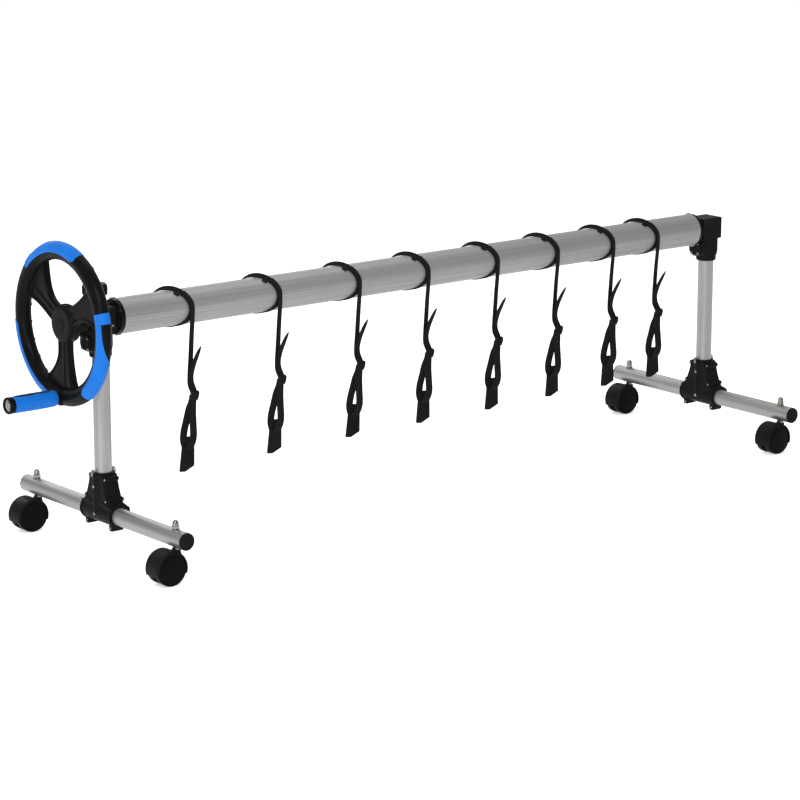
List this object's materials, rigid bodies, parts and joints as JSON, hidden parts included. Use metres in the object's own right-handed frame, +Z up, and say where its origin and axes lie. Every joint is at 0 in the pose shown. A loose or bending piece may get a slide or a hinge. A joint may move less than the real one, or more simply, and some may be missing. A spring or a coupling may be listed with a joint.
{
  "type": "pool cover reel",
  "caption": "Wheeled poolside reel: a tube between two stands on casters, turned by a crank handwheel, with webbing straps for the cover.",
  "frame": {"origin": "on the floor, under the centre of the bounding box", "axes": "+X along the tube, from the handwheel to the plain end; +Z up; -Y is the side the straps hang on"},
  "size_m": [2.1082, 0.64, 0.7135],
  "materials": {
    "satin_aluminium": "satin extruded and anodised",
    "black_plastic": "moulded, fine texture",
    "gloss_black": "moulded, semi-gloss",
    "wheel_plastic": "moulded, smooth",
    "blue_grip": "soft overmould",
    "steel": "zinc plated",
    "webbing": "flat woven polypropylene",
    "plate_plastic": "moulded"
  },
  "bodies": {
    "frame": {"left_foot_tube": "satin_aluminium", "left_foot_cap_rear": "black_plastic", "left_foot_cap_front": "black_plastic", "left_tee_outer": "black_plastic", "left_tee_inner": "black_plastic", "left_upright": "satin_aluminium", "left_head_outer": "black_plastic", "left_head_inner": "black_plastic", "left_bush": "steel", "left_front_caster_stem": "steel", "left_rear_caster_stem": "steel", "right_foot_tube": "satin_aluminium", "right_foot_cap_rear": "black_plastic", "right_foot_cap_front": "black_plastic", "right_tee_outer": "black_plastic", "right_tee_inner": "black_plastic", "right_upright": "satin_aluminium", "right_head_outer": "black_plastic", "right_head_inner": "black_plastic", "right_bush": "steel", "right_front_caster_stem": "steel", "right_rear_caster_stem": "steel"},
    "reel": {"main_tube": "satin_aluminium", "drive_plug": "gloss_black", "idler_plug": "gloss_black", "handwheel": "gloss_black", "rim_grip_1": "blue_grip", "rim_grip_2": "blue_grip", "rim_grip_3": "blue_grip", "hub_cap": "gloss_black", "handle_bolt": "steel"},
    "crank_handle": {"handle_core": "gloss_black", "handle_grip": "blue_grip", "handle_end_cap": "gloss_black"},
    "brake_knob": {"brake_knob": "gloss_black"},
    "brake_shoe": {"brake_shoe": "steel"},
    "left_front_swivel": {"left_front_caster_hood": "black_plastic"},
    "left_front_roller": {"left_front_caster_wheel": "wheel_plastic"},
    "left_rear_swivel": {"left_rear_caster_hood": "black_plastic"},
    "left_rear_roller": {"left_rear_caster_wheel": "wheel_plastic"},
    "right_front_swivel": {"right_front_caster_hood": "black_plastic"},
    "right_front_roller": {"right_front_caster_wheel": "wheel_plastic"},
    "right_rear_swivel": {"right_rear_caster_hood": "black_plastic"},
    "right_rear_roller": {"right_rear_caster_wheel": "wheel_plastic"},
    "hanging_strap_1": {"strap_1": "webbing", "cover_plate_1": "plate_plastic"},
    "hanging_strap_2": {"strap_2": "webbing", "cover_plate_2": "plate_plastic"},
    "hanging_strap_3": {"strap_3": "webbing", "cover_plate_3": "plate_plastic"},
    "hanging_strap_4": {"strap_4": "webbing", "cover_plate_4": "plate_plastic"},
    "hanging_strap_5": {"strap_5": "webbing", "cover_plate_5": "plate_plastic"},
    "hanging_strap_6": {"strap_6": "webbing", "cover_plate_6": "plate_plastic"},
    "hanging_strap_7": {"strap_7": "webbing", "cover_plate_7": "plate_plastic"},
    "hanging_strap_8": {"strap_8": "webbing", "cover_plate_8": "plate_plastic"}
  },
  "joints": [
    {"name": "reel_spin", "type": "hinge", "parent": "frame", "child": "reel", "pos_m": [0, 0, 0.533], "axis": [1, 0, 0], "continuous": true},
    {"name": "crank_handle_spin", "type": "hinge", "parent": "reel", "child": "crank_handle", "pos_m": [-0.9081, 0, 0.373], "axis": [1, 0, 0], "continuous": true},
    {"name": "brake_turn", "type": "hinge", "parent": "frame", "child": "brake_knob", "pos_m": [-0.8251, 0, 0.6], "axis": [0, 0, 1], "range_deg": [-360, 0]},
    {"name": "brake_press", "type": "slide", "parent": "frame", "child": "brake_shoe", "axis": [0, 0, -1], "range_m": [0, 0.0015]},
    {"name": "left_front_caster_swivel", "type": "hinge", "parent": "frame", "child": "left_front_swivel", "pos_m": [-0.8131, -0.277, 0.07], "axis": [0, 0, 1], "continuous": true},
    {"name": "left_front_wheel_roll", "type": "hinge", "parent": "left_front_swivel", "child": "left_front_roller", "pos_m": [-0.8381, -0.277, 0.037], "axis": [0, 1, 0], "continuous": true},
    {"name": "left_rear_caster_swivel", "type": "hinge", "parent": "frame", "child": "left_rear_swivel", "pos_m": [-0.8131, 0.277, 0.07], "axis": [0, 0, 1], "continuous": true},
    {"name": "left_rear_wheel_roll", "type": "hinge", "parent": "left_rear_swivel", "child": "left_rear_roller", "pos_m": [-0.8381, 0.277, 0.037], "axis": [0, 1, 0], "continuous": true},
    {"name": "right_front_caster_swivel", "type": "hinge", "parent": "frame", "child": "right_front_swivel", "pos_m": [1.0269, -0.277, 0.07], "axis": [0, 0, 1], "continuous": true},
    {"name": "right_front_wheel_roll", "type": "hinge", "parent": "right_front_swivel", "child": "right_front_roller", "pos_m": [1.0019, -0.277, 0.037], "axis": [0, 1, 0], "continuous": true},
    {"name": "right_rear_caster_swivel", "type": "hinge", "parent": "frame", "child": "right_rear_swivel", "pos_m": [1.0269, 0.277, 0.07], "axis": [0, 0, 1], "continuous": true},
    {"name": "right_rear_wheel_roll", "type": "hinge", "parent": "right_rear_swivel", "child": "right_rear_roller", "pos_m": [1.0019, 0.277, 0.037], "axis": [0, 1, 0], "continuous": true},
    {"name": "strap_1_swing", "type": "hinge", "parent": "frame", "child": "hanging_strap_1", "pos_m": [-0.5961, 0, 0.533], "axis": [1, 0, 0], "range_deg": [-75, 75]},
    {"name": "strap_2_swing", "type": "hinge", "parent": "frame", "child": "hanging_strap_2", "pos_m": [-0.3551, 0, 0.533], "axis": [1, 0, 0], "range_deg": [-75, 75]},
    {"name": "strap_3_swing", "type": "hinge", "parent": "frame", "child": "hanging_strap_3", "pos_m": [-0.1271, 0, 0.533], "axis": [1, 0, 0], "range_deg": [-75, 75]},
    {"name": "strap_4_swing", "type": "hinge", "parent": "frame", "child": "hanging_strap_4", "pos_m": [0.0779, 0, 0.533], "axis": [1, 0, 0], "range_deg": [-75, 75]},
    {"name": "strap_5_swing", "type": "hinge", "parent": "frame", "child": "hanging_strap_5", "pos_m": [0.2919, 0, 0.533], "axis": [1, 0, 0], "range_deg": [-75, 75]},
    {"name": "strap_6_swing", "type": "hinge", "parent": "frame", "child": "hanging_strap_6", "pos_m": [0.4839, 0, 0.533], "axis": [1, 0, 0], "range_deg": [-75, 75]},
    {"name": "strap_7_swing", "type": "hinge", "parent": "frame", "child": "hanging_strap_7", "pos_m": [0.6669, 0, 0.533], "axis": [1, 0, 0], "range_deg": [-75, 75]},
    {"name": "strap_8_swing", "type": "hinge", "parent": "frame", "child": "hanging_strap_8", "pos_m": [0.8179, 0, 0.533], "axis": [1, 0, 0], "range_deg": [-75, 75]}
  ],
  "couplings": [
    {"joint": "brake_press", "follows": "brake_turn", "m_per_rad": -0.000238}
  ]
}
